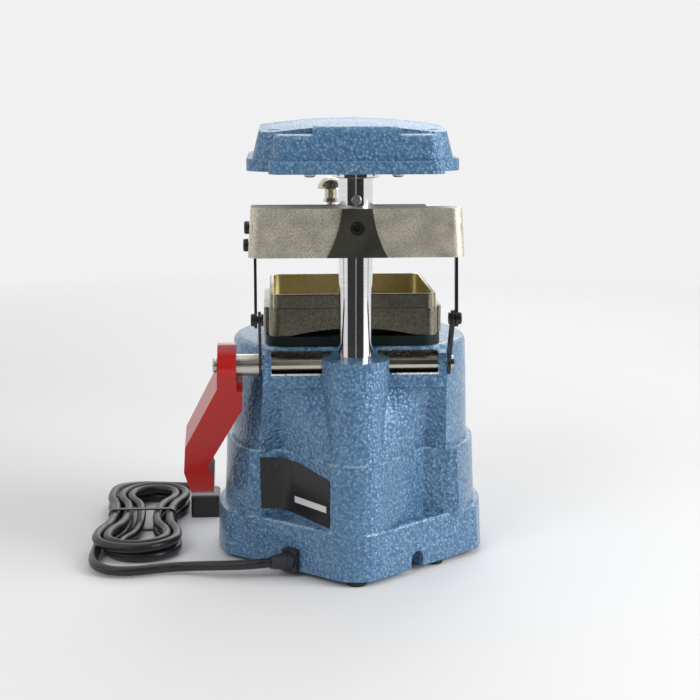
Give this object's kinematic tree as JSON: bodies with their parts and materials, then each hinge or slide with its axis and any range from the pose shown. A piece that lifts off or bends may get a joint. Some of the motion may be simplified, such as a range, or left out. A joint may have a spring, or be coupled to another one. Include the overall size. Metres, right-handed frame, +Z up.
{
  "type": "dental vacuum former",
  "caption": "Bench-top dental vacuum former in blue hammertone cast metal, with a heater head on a chrome column, a lever-driven sheet frame, a square model tray and a coiled black mains cord",
  "frame": {"origin": "on the table surface under the middle of the square model tray", "axes": "+Z up along the column, +Y to the rear where the column stands, +X to the side of the red lever; the operator stands at -Y"},
  "size_m": [0.282, 0.2475, 0.309],
  "materials": {
    "blue_hammer": "hammertone blue enamel on cast aluminium",
    "blue_hammer_dark": "darker hammertone blue enamel on the cast heater head",
    "cast_nickel": "satin nickel-coloured casting",
    "zinc_steel": "plated steel",
    "dark_steel": "dark oiled steel",
    "chrome": "polished hard chrome",
    "aluminium": "turned or pressed aluminium",
    "brass": "bright brass",
    "red_paint": "glossy red enamel on a cast lever",
    "green_rubber": "dark green rubber",
    "black_rubber": "black rubber",
    "cord_black": "black rubber mains cable",
    "black_plastic": "black moulded plastic",
    "red_plastic": "red moulded plastic",
    "ceramic": "pale ceramic"
  },
  "bodies": {
    "base": {"base_housing": "blue_hammer", "bottom_plate": "zinc_steel", "plate_screws": "zinc_steel", "rubber_feet": "black_rubber", "deck_grille": "zinc_steel", "deck_gasket": "green_rubber", "sample_tray": "cast_nickel", "perforated_plate": "zinc_steel", "vacuum_motor": "dark_steel", "motor_seal": "black_rubber", "motor_ring": "zinc_steel", "motor_bolts": "zinc_steel", "column": "chrome", "column_nut": "zinc_steel", "stop_screw": "zinc_steel", "head_collar": "zinc_steel", "switch_bezels": "black_plastic", "strain_relief": "black_rubber", "cord_lead": "cord_black", "cord_hank": "cord_black", "cord_tail": "cord_black", "cord_tie": "black_plastic", "plug_body": "black_plastic", "plug_pins": "brass"},
    "crank": {"cross_shaft": "dark_steel", "shaft_spacer": "aluminium", "crank_arm_left": "zinc_steel", "crank_arm_right": "zinc_steel", "lever_handle": "red_paint", "lever_screw": "zinc_steel"},
    "links": {"link_left": "zinc_steel", "link_right": "zinc_steel", "link_bolts": "zinc_steel", "link_nuts": "zinc_steel"},
    "frame": {"lower_frame": "cast_nickel", "guide_bush": "brass", "set_screw": "dark_steel", "hinge_pins": "zinc_steel", "link_pins": "zinc_steel", "side_screws": "zinc_steel"},
    "clamp": {"clamp_frame": "cast_nickel", "clamp_seal": "black_rubber"},
    "knob": {"clamp_knob": "brass", "clamp_screw": "zinc_steel"},
    "head": {"head_housing": "blue_hammer_dark", "wire_cover": "zinc_steel", "head_screws": "zinc_steel", "heat_reflector": "aluminium", "heating_element": "dark_steel", "element_holders": "ceramic"},
    "heat_key": {"heat_rocker": "red_plastic"},
    "vacuum_key": {"vacuum_rocker": "black_plastic"}
  },
  "joints": [
    {"name": "lever_turn", "type": "hinge", "parent": "base", "child": "crank", "pos_m": [0, 0.0675, 0.1464], "axis": [-1, 0, 0], "range_deg": [0, 62.5]},
    {"name": "link_swing", "type": "hinge", "parent": "crank", "child": "links", "pos_m": [0, 0.08945, 0.1802], "axis": [-1, 0, 0], "range_deg": [-84, 0]},
    {"name": "frame_slide", "type": "slide", "parent": "base", "child": "frame", "axis": [0, 0, -1], "range_m": [0, 0.0431]},
    {"name": "clamp_open", "type": "hinge", "parent": "frame", "child": "clamp", "pos_m": [0, 0.07, 0.24], "axis": [-1, 0, 0], "range_deg": [0, 4.4]},
    {"name": "knob_turn", "type": "hinge", "parent": "clamp", "child": "knob", "pos_m": [0.01, -0.075, 0.25], "axis": [0, 0, 1], "continuous": true},
    {"name": "head_swing", "type": "hinge", "parent": "base", "child": "head", "pos_m": [0, 0.079, 0.275], "axis": [0, 0, 1], "range_deg": [-90, 90]},
    {"name": "heat_rock", "type": "hinge", "parent": "base", "child": "heat_key", "pos_m": [-0.017, -0.0925, 0.06], "axis": [1, 0, 0], "range_deg": [-16, 0]},
    {"name": "vacuum_rock", "type": "hinge", "parent": "base", "child": "vacuum_key", "pos_m": [0.017, -0.0925, 0.06], "axis": [1, 0, 0], "range_deg": [-16, 0]}
  ],
  "couplings": [
    {"joint": "link_swing", "follows": "lever_turn", "ratio": -1.3371},
    {"joint": "frame_slide", "follows": "lever_turn", "m_per_rad": 0.03942}
  ]
}
